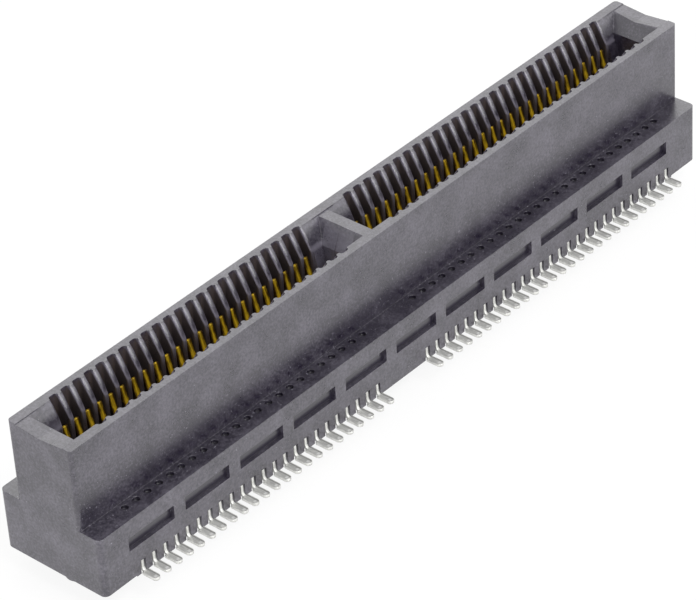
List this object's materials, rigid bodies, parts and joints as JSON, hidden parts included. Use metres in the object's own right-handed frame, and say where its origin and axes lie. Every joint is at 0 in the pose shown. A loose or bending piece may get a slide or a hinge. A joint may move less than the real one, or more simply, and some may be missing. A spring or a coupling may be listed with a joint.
{
  "type": "card edge socket",
  "caption": "Upright card edge socket for a circuit board: stepped housing, keyed slot between two rows of spring contacts, bent surface-mount feet, locating pegs.",
  "frame": {"origin": "middle of the housing's length and width, on the board face that the feet stand on", "axes": "+X along the contact rows towards the long bank, +Y across the rows, +Z out of the board towards the slot's mouth"},
  "size_m": [0.0478, 0.0088, 0.0097],
  "materials": {
    "housing_plastic": "fine satin moulding, black",
    "contact_metal": "bright strip, gold on the beams and pale tin on the feet"
  },
  "bodies": {
    "root": {"housing": "housing_plastic", "contact_pair_01": "contact_metal", "contact_pair_02": "contact_metal", "contact_pair_03": "contact_metal", "contact_pair_04": "contact_metal", "contact_pair_05": "contact_metal", "contact_pair_06": "contact_metal", "contact_pair_07": "contact_metal", "contact_pair_08": "contact_metal", "contact_pair_09": "contact_metal", "contact_pair_10": "contact_metal", "contact_pair_11": "contact_metal", "contact_pair_12": "contact_metal", "contact_pair_13": "contact_metal", "contact_pair_14": "contact_metal", "contact_pair_15": "contact_metal", "contact_pair_16": "contact_metal", "contact_pair_17": "contact_metal", "contact_pair_18": "contact_metal", "contact_pair_19": "contact_metal", "contact_pair_20": "contact_metal", "contact_pair_21": "contact_metal", "contact_pair_22": "contact_metal", "contact_pair_23": "contact_metal", "contact_pair_24": "contact_metal", "contact_pair_25": "contact_metal", "contact_pair_26": "contact_metal", "contact_pair_27": "contact_metal", "contact_pair_28": "contact_metal", "contact_pair_29": "contact_metal", "contact_pair_30": "contact_metal", "contact_pair_31": "contact_metal", "contact_pair_32": "contact_metal", "contact_pair_33": "contact_metal", "contact_pair_34": "contact_metal", "contact_pair_35": "contact_metal", "contact_pair_36": "contact_metal", "contact_pair_37": "contact_metal", "contact_pair_38": "contact_metal", "contact_pair_39": "contact_metal", "contact_pair_40": "contact_metal", "contact_pair_41": "contact_metal", "contact_pair_42": "contact_metal", "contact_pair_43": "contact_metal", "contact_pair_44": "contact_metal", "contact_pair_45": "contact_metal", "contact_pair_46": "contact_metal", "contact_pair_47": "contact_metal", "contact_pair_48": "contact_metal", "contact_pair_49": "contact_metal", "contact_pair_50": "contact_metal"}
  },
  "joints": []
}
